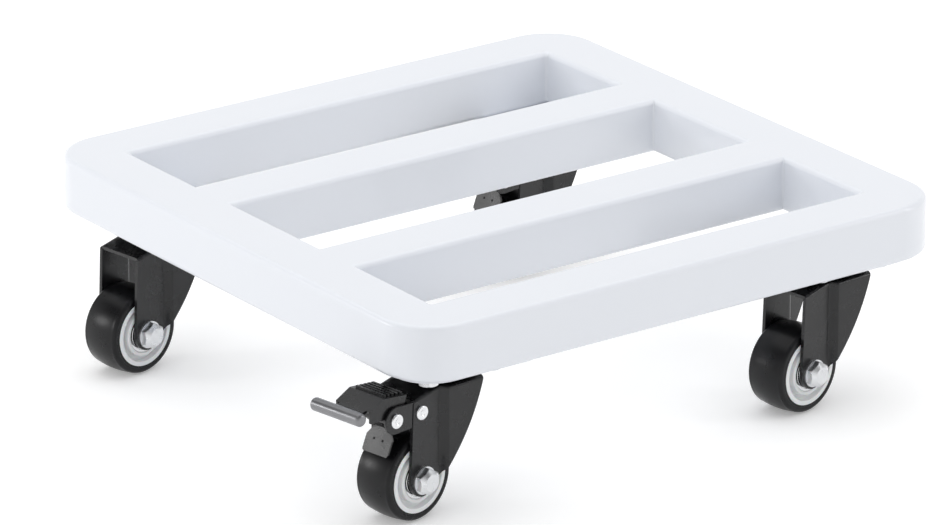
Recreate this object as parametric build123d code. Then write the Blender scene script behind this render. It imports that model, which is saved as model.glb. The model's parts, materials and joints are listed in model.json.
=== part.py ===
from build123d import *
import os
from math import acos, atan2, cos, degrees, radians, sin, sqrt

# Square rolling stand for a plant pot: a welded tube deck on four swivel casters.
# Millimetres, +Z up, floor at z = 0, deck centred on the Z axis.
# The casters are all turned the same way. Two at opposite corners have a foot brake.

# Deck
deck_length = 350.0
deck_width = 350.0
deck_corner_radius = 30.0
tube_width = 34.0
tube_height = 31.0
tube_wall = 1.5
edge_radius = 3.0
crossbar_width = 34.0
crossbar_offset = 58.0
crossbar_lip = 1.8

# Caster layout
kingpin_inset = 46.5
trail = 25.5
heading = 10.0

# Corner plates and the studs and nuts that hold the casters
corner_plate_thickness = 3.0
corner_plate_inset = 8.0
corner_plate_reach = 32.0
corner_plate_chamfer = 18.0
stud_radius = 3.0
stud_spacing = 40.0
stud_hole_clearance = 0.3
plate_nut_across_flats = 10.0
plate_nut_height = 4.5
stud_tail = 0.5
kingpin_head_room = 1.5

# Caster top plate and swivel head
top_plate_size = 56.0
top_plate_thickness = 2.5
top_plate_corner = 6.0
head_height = 8.2
skirt_radius = 18.0
skirt_wall = 1.4
skirt_gap = 0.8
race_ring_top = 6.0
race_ring_bottom = 3.8
fork_race_height = 1.6
fork_race_radius = 15.6
ball_radius = 2.0
ball_circle_radius = 12.5
ball_count = 14
ball_level = 2.7
ball_clearance = 0.05
kingpin_radius = 5.0
kingpin_upper_head = (7.0, 1.8)
kingpin_lower_head = (8.0, 3.2)
kingpin_head_chamfer = 0.8
kingpin_clearance = 0.05
kingpin_head_gap = 0.1

# Fork. Heights are above the axle, u runs from the wheel to the kingpin.
sheet = 2.0
crown_sheet = 2.5
crown_ramp_end = 11.0
crown_above_tyre = 25.3
crown_front_above_tyre = 21.6
fork_front = -7.0
fork_rear = 38.3
fork_step = 4.0
fork_flare = 2.5
step_start = 12.2
step_end = 14.2
boss_radius = 9.0
rear_knee = (17.1, 7.0)
bend_radius = 1.6

# Wheel
wheel_radius = 24.0
tyre_half_width = 12.0
tyre_shoulder_drop = 0.8
tyre_shoulder_start = 9.2
tyre_shoulder_radius = 2.6
tyre_shoulder_bulge = 0.76
core_radius = 18.8
core_half_width = 12.4
wheel_side_gap = 0.6
core_rim = 2.6
core_edge = 0.3
core_hub_radius = 13.0
core_recess = 3.5
bearing_radius = 11.0
bearing_width = 5.0
bearing_setback = 0.4
bearing_clearance = 0.05
bearing_outer_ring = 1.5
bearing_inner_ring = 1.3
shield_depth = 0.4
core_bore_radius = 8.5

# Axle
axle_radius = 4.0
axle_hole_clearance = 0.1
sleeve_radius = 6.0
washer_radius = 7.6
washer_thickness = 1.2
bolt_across_flats = 13.0
bolt_head_height = 5.3
nut_height = 6.5
bolt_tail = 1.5
hex_chamfer = 0.7
hex_margin = 0.12

# Foot brake
pin_radius = 2.5
pin_clearance = 0.05
pin_head_radius = 4.1
pin_head_height = 1.5
pin_head_round = 0.9
shoe_pivot = (-1.5, wheel_radius + 14.2)
pedal_pivot = (-19.5, wheel_radius + 14.4)
ear_radius = 7.4
ear_sheet = 1.6
ear_overlap = 2.0
pedal_sheet = 1.5
pedal_side_gap = 0.3
deck_back = (-10.0, wheel_radius + 25.8)
pedal_crease = (-26.0, wheel_radius + 27.7)
pedal_slope_end = (-36.0, wheel_radius + 23.2)
press_bar_centre = (-47.1, wheel_radius + 23.3)
press_bar_radius = 3.6
press_bar_length = 35.6
press_bar_round = 2.0
tongue_half_width = 9.0
tongue_drop = 1.4
tongue_root = 2.0
flange_front_low = (-36.0, wheel_radius + 16.8)
flange_eye_radius = 5.5
flange_drop = 0.2
rib_height = 1.3
rib_width = 1.6
rib_count = 5
rib_start = 2.0
rib_pitch = 2.86
rib_inset = 2.5
shoe_sheet = 1.2
shoe_hub_radius = 4.0
shoe_hub_half = 4.0
shoe_neck_half = 3.8
shoe_half_width = 9.1
shoe_top = (-14.2, wheel_radius + 7.8)
shoe_bottom = (2.9 - wheel_radius, wheel_radius - 7.4)
shoe_shoulder = 7.7
shoe_root = (2.4, 3.0)
shoe_corner_radius = 2.0
dimple_spacing = 6.1
dimple_radius = 0.7
dimple_level = 9.0
cam_half = 3.4
cam_gap = 0.3
cam_radius = 1.6
cam_contact = 0.5
cam_hub_wall = 1.6
pedal_hub_wall = 1.2

# Levels above the floor, and the fork's widest half width
axle_z = wheel_radius
crown_rise = wheel_radius + crown_above_tyre
crown_front_rise = wheel_radius + crown_front_above_tyre
fork_half_width = core_half_width + wheel_side_gap + sheet
crown_z = axle_z + crown_rise
plate_bottom = crown_z + head_height
plate_top = plate_bottom + top_plate_thickness
deck_bottom = plate_top + corner_plate_thickness
deck_top = deck_bottom + tube_height
fork_outside = fork_half_width + fork_step + fork_flare

CORNERS = {
    "front_left": (-1, -1),
    "front_right": (1, -1),
    "rear_left": (-1, 1),
    "rear_right": (1, 1),
}
BRAKED = ("front_left", "rear_right")


def save(shape, name):
    solids = shape.solids()
    body = solids[0] if len(solids) == 1 else Compound(children=list(solids))
    export_step(body, f"parts/{name}.step")
    print(name, len(solids), "solids")


def kingpin_place(corner):
    """Where a corner's kingpin stands on the deck plan."""
    sx, sy = CORNERS[corner]
    return (
        sx * (deck_length / 2 - kingpin_inset),
        sy * (deck_width / 2 - kingpin_inset),
    )


def at_caster(corner):
    """Moves a piece from the caster's own frame, with the axle's middle at its origin."""
    x, y = kingpin_place(corner)
    return Location((x, y, axle_z), (0, 0, heading)) * Location((-trail, 0, 0))


def at_head(corner):
    """Moves a piece from a frame at the kingpin, with the top of the fork crown at z = 0."""
    x, y = kingpin_place(corner)
    return Location((x, y, crown_z), (0, 0, heading))


def side_prism(sketch, v_low, v_high):
    """A profile in u and height, carried along the axle direction from v_low to v_high."""
    return extrude(Plane.XZ.offset(v_low) * sketch, v_high - v_low)


def axle_cylinder(radius, v_low, v_high, centre=(0, 0)):
    """A round bar parallel to the axle."""
    return side_prism(Pos(*centre) * Circle(radius), v_low, v_high)


def hexagon(across_flats):
    return RegularPolygon(across_flats / sqrt(3), 6)


def tangent_point(radius, point, turn):
    """Where the line from a point touches a circle at the origin, on the side given by turn."""
    angle = atan2(point[1], point[0])
    spread = acos(radius / sqrt(point[0] ** 2 + point[1] ** 2))
    return (radius * cos(angle + turn * spread), radius * sin(angle + turn * spread))


# Deck tubes

def ring_solid(inset, low, high, radius):
    """The deck's square ring, shrunk by inset all round, with its long edges rounded."""
    outer = RectangleRounded(
        deck_length - 2 * inset, deck_width - 2 * inset, deck_corner_radius - inset
    )
    inner = Rectangle(
        deck_length - 2 * tube_width + 2 * inset, deck_width - 2 * tube_width + 2 * inset
    )
    ring = Pos(0, 0, low) * extrude(outer - inner, high - low)
    long_edges = ring.edges().filter_by_position(Axis.Z, low, low)
    long_edges += ring.edges().filter_by_position(Axis.Z, high, high)
    return fillet(long_edges, radius)


def mitre_wedge(side):
    """The part of the plan that belongs to one tube: corners are cut at 45 degrees."""
    far = 5.0
    near = tube_width + 1.0
    x_out, y_out = deck_length / 2 + far, deck_width / 2 + far
    x_in, y_in = deck_length / 2 - near, deck_width / 2 - near
    outlines = {
        "front": [(-x_out, -y_out), (x_out, -y_out), (x_in, -y_in), (-x_in, -y_in)],
        "rear": [(-x_out, y_out), (-x_in, y_in), (x_in, y_in), (x_out, y_out)],
        "left": [(-x_out, -y_out), (-x_in, -y_in), (-x_in, y_in), (-x_out, y_out)],
        "right": [(x_out, -y_out), (x_out, y_out), (x_in, y_in), (x_in, -y_in)],
    }
    face = make_face(Polyline(*outlines[side], close=True))
    return Pos(0, 0, deck_bottom - far) * extrude(face, tube_height + 2 * far)


def make_deck_tubes():
    skin = ring_solid(0, deck_bottom, deck_top, edge_radius)
    hollow = ring_solid(
        tube_wall, deck_bottom + tube_wall, deck_top - tube_wall, edge_radius - tube_wall
    )
    ring = skin - hollow
    for side in ("front", "rear", "left", "right"):
        save(ring & mitre_wedge(side), f"{side}_tube")
    return skin


def bar_section(inset):
    width = crossbar_width - 2 * inset
    height = tube_height - 2 * inset
    return RectangleRounded(width, height, edge_radius - inset)


def make_crossbars(skin):
    """Square tubes between the side tubes, their ends coped to the side tubes' round edges."""
    opening = deck_length - 2 * tube_width
    length = opening + 2 * crossbar_lip
    middle = deck_bottom + tube_height / 2
    start = Plane((-length / 2, 0, middle), x_dir=(0, 1, 0), z_dir=(1, 0, 0))
    cut_start = Plane((-opening / 2, 0, middle), x_dir=(0, 1, 0), z_dir=(1, 0, 0))
    outer = extrude(start * bar_section(0), length)
    hollow = extrude(cut_start * bar_section(tube_wall), opening)
    for name, sign in (("front", -1), ("rear", 1)):
        bar = Pos(0, sign * crossbar_offset, 0) * (outer - hollow)
        save(bar - skin, f"{name}_crossbar")


# Corner plates, studs and nuts

def stud_places(corner):
    x, y = kingpin_place(corner)
    half = stud_spacing / 2
    return [(x + i * half, y + j * half) for i in (-1, 1) for j in (-1, 1)]


def make_corner_plates():
    plates = []
    for corner, (sx, sy) in CORNERS.items():
        x, y = kingpin_place(corner)
        outer_x = deck_length / 2 - corner_plate_inset
        outer_y = deck_width / 2 - corner_plate_inset
        inner_x = abs(x) - corner_plate_reach
        inner_y = abs(y) - corner_plate_reach
        outline = make_face(Polyline(
            (inner_x + corner_plate_chamfer, inner_y), (outer_x, inner_y),
            (outer_x, outer_y), (inner_x, outer_y),
            (inner_x, inner_y + corner_plate_chamfer), close=True,
        ))
        outline = fillet(
            outline.vertices().sort_by(lambda p: p.X + p.Y)[-1:],
            deck_corner_radius - corner_plate_inset,
        )
        plate = extrude(outline, corner_plate_thickness)
        plate -= Pos(abs(x), abs(y), 0) * Cylinder(
            kingpin_upper_head[0] + kingpin_head_room, 3 * corner_plate_thickness
        )
        if sx < 0:
            plate = mirror(plate, Plane.YZ)
        if sy < 0:
            plate = mirror(plate, Plane.XZ)
        plates.append(Pos(0, 0, plate_top) * plate)
    save(Compound(children=plates), "corner_plates")


def make_studs_and_nuts():
    studs, nuts = [], []
    stud_length = top_plate_thickness + plate_nut_height + stud_tail
    for corner in CORNERS:
        for x, y in stud_places(corner):
            studs.append(
                Pos(x, y, plate_top - stud_length)
                * extrude(Circle(stud_radius), stud_length)
            )
            nut = extrude(hexagon(plate_nut_across_flats), plate_nut_height)
            nut = nut & round_hex(plate_nut_across_flats, plate_nut_height)
            nut -= extrude(Circle(stud_radius), plate_nut_height)
            nuts.append(Pos(x, y, plate_bottom - plate_nut_height) * nut)
    save(Compound(children=studs), "plate_studs")
    save(Compound(children=nuts), "plate_nuts")


def round_hex(across_flats, height):
    """The cone-cornered envelope that takes the points off a hexagon's two ends."""
    corner = across_flats / sqrt(3) + hex_margin
    flat = across_flats / 2 - hex_margin
    profile = make_face(Polyline(
        (0, 0), (flat, 0), (corner, hex_chamfer), (corner, height - hex_chamfer),
        (flat, height), (0, height), close=True,
    ))
    return revolve(Plane.XZ * profile, Axis.Z)


# Swivel heads

def ball_groove():
    """The round channel that the ring of balls runs in."""
    ring = Pos(ball_circle_radius, ball_level) * Circle(ball_radius + ball_clearance)
    return revolve(Plane.XZ * ring, Axis.Z)


def make_top_plate(corner):
    """Square plate with studs' holes, and the cup that covers the balls."""
    size = top_plate_size
    plate = extrude(RectangleRounded(size, size, top_plate_corner), top_plate_thickness)
    for i in (-1, 1):
        for j in (-1, 1):
            plate -= Pos(i * stud_spacing / 2, j * stud_spacing / 2, 0) * Cylinder(
                stud_radius + stud_hole_clearance, 3 * top_plate_thickness
            )
    cup = extrude(Circle(skirt_radius), head_height - skirt_gap)
    cup -= extrude(Circle(skirt_radius - skirt_wall), race_ring_top - skirt_gap)
    body = Pos(0, 0, head_height) * plate + Pos(0, 0, skirt_gap) * cup
    body -= extrude(Circle(kingpin_radius), head_height + top_plate_thickness)
    x, y = kingpin_place(corner)
    save(Pos(x, y, crown_z) * body, f"top_plate_{corner}")


def make_race_rings():
    """The hardened ring inside each cup, which the balls run under."""
    ring = extrude(Circle(skirt_radius - skirt_wall), race_ring_top - race_ring_bottom)
    ring = Pos(0, 0, race_ring_bottom) * ring
    ring -= extrude(Circle(kingpin_radius), race_ring_top)
    ring -= ball_groove()
    save(Compound(children=[at_head(c) * ring for c in CORNERS]), "race_rings")


def make_balls():
    step = 360 / ball_count
    balls = []
    for corner in CORNERS:
        for k in range(ball_count):
            angle = radians(k * step)
            spot = Pos(
                ball_circle_radius * cos(angle), ball_circle_radius * sin(angle), ball_level
            )
            balls.append(at_head(corner) * spot * Sphere(ball_radius))
    save(Compound(children=balls), "swivel_balls")


def make_kingpins():
    """Headed pins that hang each fork from its top plate."""
    top_radius, top_height = kingpin_upper_head
    low_radius, low_height = kingpin_lower_head
    low = -crown_sheet - kingpin_head_gap
    high = head_height + top_plate_thickness
    pin = Pos(0, 0, low) * extrude(Circle(kingpin_radius), high - low)
    pin += Pos(0, 0, high) * extrude(Circle(top_radius), top_height)
    pin += Pos(0, 0, low - low_height) * chamfer(
        extrude(Circle(low_radius), low_height).edges().group_by(Axis.Z)[0],
        kingpin_head_chamfer,
    )
    save(Compound(children=[at_head(c) * pin for c in CORNERS]), "kingpins")


# Forks

def leg_outline():
    """Side view of a fork leg: straight front, round boss at the axle, swept rear edge."""
    top_front = (fork_front, crown_front_rise)
    ramp_top = (crown_ramp_end, crown_rise)
    top_rear = (fork_rear, crown_rise)
    front_touch = tangent_point(boss_radius, top_front, 1)
    rear_touch = tangent_point(boss_radius, rear_knee, -1)
    along = (rear_knee[0] - rear_touch[0], rear_knee[1] - rear_touch[1])
    edges = [
        Line(top_front, front_touch),
        ThreePointArc(front_touch, (0, -boss_radius), rear_touch),
        Line(rear_touch, rear_knee),
        TangentArc(rear_knee, top_rear, tangent=along),
        Line(top_rear, ramp_top),
        Line(ramp_top, top_front),
    ]
    return make_face(edges)


def fork_plan(offset, front, rear):
    """Plan of the fork between its sides, moved in by offset: it steps out and then flares."""
    near = fork_half_width - offset
    far = near + fork_step
    slope = fork_flare / (fork_rear - step_end)
    half = [
        (front, near), (step_start, near), (step_end, far), (rear, far + slope * (rear - step_end)),
    ]
    return make_face(Polyline(*half, *[(u, -v) for u, v in half[::-1]], close=True))


def fork_shell():
    """Two legs and the ramped crown between them, bent from one sheet."""
    wide = fork_outside + 1
    below = -2 * boss_radius
    tall = crown_rise - 2 * below
    front, rear = fork_front - boss_radius, fork_rear + boss_radius
    plan = Pos(0, 0, below) * extrude(fork_plan(0, front, rear), tall)
    block = side_prism(leg_outline(), -wide, wide) & plan
    touch = 0.01
    bends = block.edges().filter_by(
        lambda e: abs(e.center().Y) > fork_half_width - touch
        and e.bounding_box().min.Z > crown_front_rise - touch
    )
    block = fillet(bends, bend_radius)
    ceiling = crown_rise - crown_sheet
    front_ceiling = crown_front_rise - crown_sheet
    under = make_face(Polyline(
        (front, below), (rear, below), (rear, ceiling), (crown_ramp_end, ceiling),
        (fork_front, front_ceiling), (front, front_ceiling), close=True,
    ))
    inside = Pos(0, 0, below) * extrude(fork_plan(sheet, front, rear), tall)
    return block - (side_prism(under, -wide, wide) & inside)


def fork_ears():
    """Forward ears of a brake fork, which hold the pedal's pin."""
    eye = Pos(*pedal_pivot) * Circle(ear_radius)
    low = pedal_pivot[1] - ear_radius
    high = pedal_pivot[1] + ear_radius
    root = fork_front + ear_overlap
    web = make_face(Polyline(
        (pedal_pivot[0], low), (root, low), (root, crown_front_rise),
        (fork_front, crown_front_rise), (pedal_pivot[0], high), close=True,
    ))
    inner = fork_half_width - sheet
    ear = side_prism(eye + web, inner, inner + ear_sheet)
    return ear + mirror(ear, Plane.XZ)


def make_fork(corner):
    wide = fork_outside + 1
    fork = fork_shell()
    fork += Pos(trail, 0, crown_rise) * extrude(Circle(fork_race_radius), fork_race_height)
    fork -= Pos(trail, 0, crown_rise) * ball_groove()
    fork -= Pos(trail, 0, 0) * extrude(
        Circle(kingpin_radius + kingpin_clearance), 2 * crown_rise
    )
    fork -= axle_cylinder(axle_radius + axle_hole_clearance, -wide, wide)
    if corner in BRAKED:
        fork += fork_ears()
        for pivot in (pedal_pivot, shoe_pivot):
            fork -= axle_cylinder(pin_radius, -wide, wide, pivot)
    save(at_caster(corner) * fork, f"fork_{corner}")


# Axles

def make_axle(corner):
    """Bolt, nut, washers and the sleeve that keeps the fork legs apart."""
    leg = fork_half_width
    seat = leg + washer_thickness
    bore = axle_radius + axle_hole_clearance
    head = extrude(hexagon(bolt_across_flats), bolt_head_height)
    head = head & round_hex(bolt_across_flats, bolt_head_height)
    shank_length = 2 * seat + nut_height + bolt_tail
    shank = Pos(0, 0, -shank_length) * extrude(Circle(axle_radius), shank_length)
    bolt = Plane.XZ.offset(seat) * (head + shank)
    nut = extrude(hexagon(bolt_across_flats), nut_height)
    nut = nut & round_hex(bolt_across_flats, nut_height)
    nut -= extrude(Circle(axle_radius), nut_height)
    nut = Plane.XZ.offset(-seat - nut_height) * nut
    washers = [
        axle_cylinder(washer_radius, low, low + washer_thickness)
        - axle_cylinder(bore, low, low + washer_thickness)
        for low in (leg, -seat)
    ]
    inside = leg - sheet
    sleeve = axle_cylinder(sleeve_radius, -inside, inside) - axle_cylinder(bore, -inside, inside)
    place = at_caster(corner)
    save(place * bolt, f"axle_bolt_{corner}")
    save(place * nut, f"axle_nut_{corner}")
    save(Compound(children=[place * w for w in washers]), f"axle_washers_{corner}")
    save(place * sleeve, f"axle_sleeve_{corner}")


# Wheels

def about_axle(profile):
    """Turns a profile, given as radius and distance along the axle, once round the axle."""
    flat = Plane((0, 0, 0), x_dir=(0, 0, 1), z_dir=(1, 0, 0))
    return revolve(flat * profile, Axis.Y)


def make_tyre(corner):
    """Crowned tread with rounded shoulders, moulded round the core."""
    side = tyre_half_width
    shoulder = wheel_radius - tyre_shoulder_drop
    start = tyre_shoulder_start
    low = shoulder - tyre_shoulder_radius
    mid_v = start + (side - start) * tyre_shoulder_bulge
    mid_r = low + (shoulder - low) * tyre_shoulder_bulge
    edges = [
        ThreePointArc((shoulder, -start), (wheel_radius, 0), (shoulder, start)),
        ThreePointArc((shoulder, start), (mid_r, mid_v), (low, side)),
        Line((low, side), (core_radius, side)),
        Line((core_radius, side), (core_radius, -side)),
        Line((core_radius, -side), (low, -side)),
        ThreePointArc((low, -side), (mid_r, -mid_v), (shoulder, -start)),
    ]
    save(at_caster(corner) * about_axle(make_face(edges)), f"tyre_{corner}")


def make_core(corner):
    """White wheel body: rim, dished web and hub, bored from both sides for the bearings."""
    side = core_half_width
    core = axle_cylinder(core_radius, -side, side)
    core = chamfer(core.edges().filter_by(GeomType.CIRCLE), core_edge)
    dish = Circle(core_radius - core_rim) - Circle(core_hub_radius)
    seat = bearing_width + bearing_setback
    for low in (side - core_recess, -side):
        core -= side_prism(dish, low, low + core_recess)
    core -= axle_cylinder(bearing_radius, side - seat, side)
    core -= axle_cylinder(bearing_radius, -side, -side + seat)
    core -= axle_cylinder(core_bore_radius, -side, side)
    save(at_caster(corner) * core, f"wheel_core_{corner}")


def make_bearings(corner):
    """One ball bearing each side: outer ring, sunken shield and inner ring in one piece."""
    bore = sleeve_radius + bearing_clearance
    ring = extrude(Circle(bearing_radius) - Circle(bore), bearing_width)
    shield = Circle(bearing_radius - bearing_outer_ring) - Circle(bore + bearing_inner_ring)
    sunk = extrude(shield, shield_depth)
    ring -= sunk
    ring -= Pos(0, 0, bearing_width - shield_depth) * sunk
    outside = core_half_width - bearing_setback
    pair = [
        Plane.XZ.offset(outside - bearing_width) * ring,
        Plane.XZ.offset(-outside) * ring,
    ]
    place = at_caster(corner)
    save(Compound(children=[place * p for p in pair]), f"bearings_{corner}")


# Foot brake

def along_line(start, end, distance):
    """A point at a distance from start towards end, and the unit vector that way."""
    length = sqrt((end[0] - start[0]) ** 2 + (end[1] - start[1]) ** 2)
    way = ((end[0] - start[0]) / length, (end[1] - start[1]) / length)
    return (start[0] + way[0] * distance, start[1] + way[1] * distance), way


def strip(points, thickness):
    """A bent sheet seen from the side: the given line is its upper face."""
    line = Polyline(*points)
    lower = offset_polyline(points, thickness)
    return make_face([*line.edges(), *Polyline(points[-1], *lower[::-1], points[0]).edges()])


def offset_polyline(points, distance):
    """The line of points moved down by distance, with its corners kept sharp."""
    normals = []
    for a, b in zip(points, points[1:]):
        _, way = along_line(a, b, 0)
        side = (way[1], -way[0])
        if side[1] > 0:
            side = (-side[0], -side[1])
        normals.append(side)
    moved = [(points[0][0] + normals[0][0] * distance, points[0][1] + normals[0][1] * distance)]
    for i in range(1, len(points) - 1):
        n, m = normals[i - 1], normals[i]
        scale = distance / (1 + n[0] * m[0] + n[1] * m[1])
        moved.append((points[i][0] + (n[0] + m[0]) * scale, points[i][1] + (n[1] + m[1]) * scale))
    moved.append((
        points[-1][0] + normals[-1][0] * distance, points[-1][1] + normals[-1][1] * distance
    ))
    return moved


def pedal_flange():
    """Side view of a pedal flange, from the deck down to the eye of its pin."""
    u, z = pedal_pivot
    eye = Pos(u, z) * Circle(flange_eye_radius)
    top = [(x, y - flange_drop) for x, y in (deck_back, pedal_crease, pedal_slope_end)]
    body = make_face(Polyline(
        *top, flange_front_low, (u - flange_eye_radius, z + flange_eye_radius / 3),
        (u, z - flange_eye_radius + flange_drop), (u + flange_eye_radius, z), close=True,
    ))
    return eye + body


def bar_tongue():
    """The end of the pedal's sheet that reaches forward into the press bar."""
    level = press_bar_centre[1] - tongue_drop
    back, _ = along_line(pedal_slope_end, pedal_crease, tongue_root)
    near = (press_bar_centre[0] + press_bar_radius, level)
    outline = strip([back, pedal_slope_end, near, (press_bar_centre[0], level)], pedal_sheet)
    return side_prism(outline, -tongue_half_width, tongue_half_width)


def make_pedal(corner):
    """Pressed pedal: ribbed deck, two flanges, a cam for the shoe and a tongue for the bar."""
    half = fork_half_width - sheet - pedal_side_gap
    deck = side_prism(strip([deck_back, pedal_crease, pedal_slope_end], pedal_sheet), -half, half)
    flange = pedal_flange()
    pedal = deck + bar_tongue()
    pedal += side_prism(flange, half - pedal_sheet, half)
    pedal += side_prism(flange, -half, -half + pedal_sheet)
    for k in range(rib_count):
        middle, way = along_line(deck_back, pedal_crease, rib_start + k * rib_pitch)
        angle = degrees(atan2(way[1], way[0]))
        rib = Pos(*middle) * Rot(0, 0, angle) * Rectangle(rib_width, 2 * rib_height)
        pedal += side_prism(rib, -half + rib_inset, half - rib_inset)
    pedal += cam_tongue()
    across = fork_half_width
    pedal -= axle_cylinder(pin_radius + pin_clearance, -across, across, pedal_pivot)
    save(at_caster(corner) * pedal, f"pedal_{corner}")


def cam_tongue():
    """Nose under the pedal deck that pushes the top of the shoe, and the hub that carries it."""
    touch, way = along_line(shoe_top, shoe_bottom, cam_contact)
    reach = cam_radius + cam_gap
    u, z = touch[0] + way[1] * reach, touch[1] - way[0] * reach
    tip = Pos(u, z) * Circle(cam_radius)
    hub = Pos(*pedal_pivot) * Circle(pin_radius + cam_hub_wall)
    root = make_face(Polyline(
        (u + cam_radius * 0.7, z + cam_radius * 0.7), (u - cam_radius * 0.9, z - cam_radius * 0.4),
        (pedal_pivot[0] - pin_radius, pedal_pivot[1] - pin_radius),
        (pedal_pivot[0] + pin_radius, pedal_pivot[1] + pin_radius), close=True,
    ))
    middle = side_prism(tip + hub + root, -cam_half, cam_half)
    wide = fork_half_width - sheet - pedal_side_gap - pedal_sheet
    return middle + axle_cylinder(pin_radius + pedal_hub_wall, -wide, wide, pedal_pivot)


def make_press_bar(corner):
    """Round bar that the foot presses, slotted onto the pedal's tongue."""
    half = press_bar_length / 2
    bar = axle_cylinder(press_bar_radius, -half, half, press_bar_centre)
    bar = fillet(bar.edges().filter_by(GeomType.CIRCLE), press_bar_round)
    bar -= bar_tongue()
    save(at_caster(corner) * bar, f"press_bar_{corner}")


def make_pins(corner):
    """Riveted pins: one carries the pedal, the other the shoe."""
    pins = []
    for pivot, outside in (
        (pedal_pivot, fork_half_width - sheet + ear_sheet), (shoe_pivot, fork_half_width),
    ):
        pin = axle_cylinder(pin_radius, -outside, outside, pivot)
        for low in (outside, -outside - pin_head_height):
            head = axle_cylinder(pin_head_radius, low, low + pin_head_height, pivot)
            pin += head
        outer = pin.edges().filter_by(GeomType.CIRCLE).filter_by(
            lambda e, face=outside + pin_head_height: abs(abs(e.center().Y) - face) < 0.01
        )
        pins.append(at_caster(corner) * fillet(outer, pin_head_round))
    save(Compound(children=pins), f"brake_pins_{corner}")


def make_shoe(corner):
    """Spring-steel brake shoe: rolled on its pin, with a narrow neck and a wide plate."""
    _, way = along_line(shoe_top, shoe_bottom, 0)
    back = (-way[1] * shoe_sheet, way[0] * shoe_sheet)
    hub_high = (shoe_pivot[0] - shoe_root[0], shoe_pivot[1] - shoe_root[1])
    side = make_face(Polyline(
        hub_high, shoe_top, shoe_bottom, (shoe_bottom[0] + back[0], shoe_bottom[1] + back[1]),
        (shoe_top[0] + back[0], shoe_top[1] + back[1]),
        (hub_high[0], hub_high[1] - shoe_sheet), close=True,
    ))
    plate = side_prism(side, -shoe_half_width, shoe_half_width)
    shoulder, _ = along_line(shoe_top, shoe_bottom, shoe_shoulder)
    low = min(shoe_bottom[1], shoe_bottom[1] + back[1])
    half = [
        (shoe_half_width, low), (shoe_half_width, shoulder[1]), (shoe_neck_half, shoe_top[1]),
        (shoe_neck_half, crown_rise),
    ]
    front_view = make_face(Polyline(*half, *[(-v, z) for v, z in half[::-1]], close=True))
    front_view = fillet(front_view.vertices().sort_by(Axis.Y)[:2], shoe_corner_radius)
    across = Plane((shoe_bottom[0], 0, 0), x_dir=(0, 1, 0), z_dir=(1, 0, 0))
    plate = plate & extrude(across * front_view, shoe_pivot[0] - shoe_bottom[0])
    hub = axle_cylinder(shoe_hub_radius, -shoe_hub_half, shoe_hub_half, shoe_pivot)
    shoe = plate + hub
    shoe -= axle_cylinder(pin_radius + pin_clearance, -shoe_hub_half, shoe_hub_half, shoe_pivot)
    spot, _ = along_line(shoe_top, shoe_bottom, dimple_level)
    for v in (-dimple_spacing / 2, dimple_spacing / 2):
        shoe -= Pos(spot[0], -v, spot[1]) * Sphere(dimple_radius)
    save(at_caster(corner) * shoe, f"shoe_{corner}")


def main():
    os.makedirs("parts", exist_ok=True)
    skin = make_deck_tubes()
    make_crossbars(skin)
    make_corner_plates()
    make_studs_and_nuts()
    make_race_rings()
    make_balls()
    make_kingpins()
    for corner in CORNERS:
        make_top_plate(corner)
        make_fork(corner)
        make_axle(corner)
        make_tyre(corner)
        make_core(corner)
        make_bearings(corner)
    for corner in BRAKED:
        make_pedal(corner)
        make_press_bar(corner)
        make_pins(corner)
        make_shoe(corner)


main()
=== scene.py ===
# %% [markdown]
# The plant caddy is a square deck of white welded tube on four small black casters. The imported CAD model
# already holds every piece at its real size and place. This script gives each piece its finish, and puts
# a finer surface where the photograph shows one. Everything is in metres, with the floor at z = 0 and the
# deck centred on the Z axis.

# %% Load the fixed frame
import json

import bmesh
import bpy
import numpy as np
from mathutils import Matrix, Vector


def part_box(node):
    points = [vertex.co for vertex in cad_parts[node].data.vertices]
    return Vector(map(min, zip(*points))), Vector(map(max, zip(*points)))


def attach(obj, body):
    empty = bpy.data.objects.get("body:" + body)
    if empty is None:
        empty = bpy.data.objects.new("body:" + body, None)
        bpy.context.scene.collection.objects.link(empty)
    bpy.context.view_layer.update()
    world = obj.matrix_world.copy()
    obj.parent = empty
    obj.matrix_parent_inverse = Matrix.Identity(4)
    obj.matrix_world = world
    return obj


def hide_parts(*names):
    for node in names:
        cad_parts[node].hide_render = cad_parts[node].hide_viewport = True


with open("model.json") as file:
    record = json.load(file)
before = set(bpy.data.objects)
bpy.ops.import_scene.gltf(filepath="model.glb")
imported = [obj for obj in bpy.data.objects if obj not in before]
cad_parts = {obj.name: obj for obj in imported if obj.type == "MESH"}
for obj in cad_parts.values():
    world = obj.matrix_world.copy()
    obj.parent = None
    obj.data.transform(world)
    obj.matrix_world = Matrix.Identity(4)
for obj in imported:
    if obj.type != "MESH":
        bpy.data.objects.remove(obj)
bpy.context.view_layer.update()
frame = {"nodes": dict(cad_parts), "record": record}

nodes = frame["nodes"]
record = frame["record"]
CORNERS = {"front_left": (-1, -1), "front_right": (1, -1), "rear_left": (-1, 1), "rear_right": (1, 1)}
BRAKED = ("front_left", "rear_right")
MM = 0.001

# %% [markdown]
# The photograph was taken from far away with a long lens, so the deck's opposite sides look almost
# parallel. A short lens close by would show the same corners with a wrong taper. The camera stands nearly
# 4 metres off, looks down about 21 degrees, and has the matching 280 mm lens.

# %% Camera
camera_azimuth = np.radians(-35.914)
camera_elevation = np.radians(20.707)
camera_distance = 3.9545
camera_shift_right = -10.90 * MM
camera_shift_up = -49.02 * MM
camera_lens = 280.0
deck_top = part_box("front_tube")[1].z

towards_camera = Vector((
    np.sin(camera_azimuth) * np.cos(camera_elevation),
    -np.cos(camera_azimuth) * np.cos(camera_elevation),
    np.sin(camera_elevation),
))
camera_right = Vector((np.cos(camera_azimuth), np.sin(camera_azimuth), 0))
camera_up = towards_camera.cross(camera_right)

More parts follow.
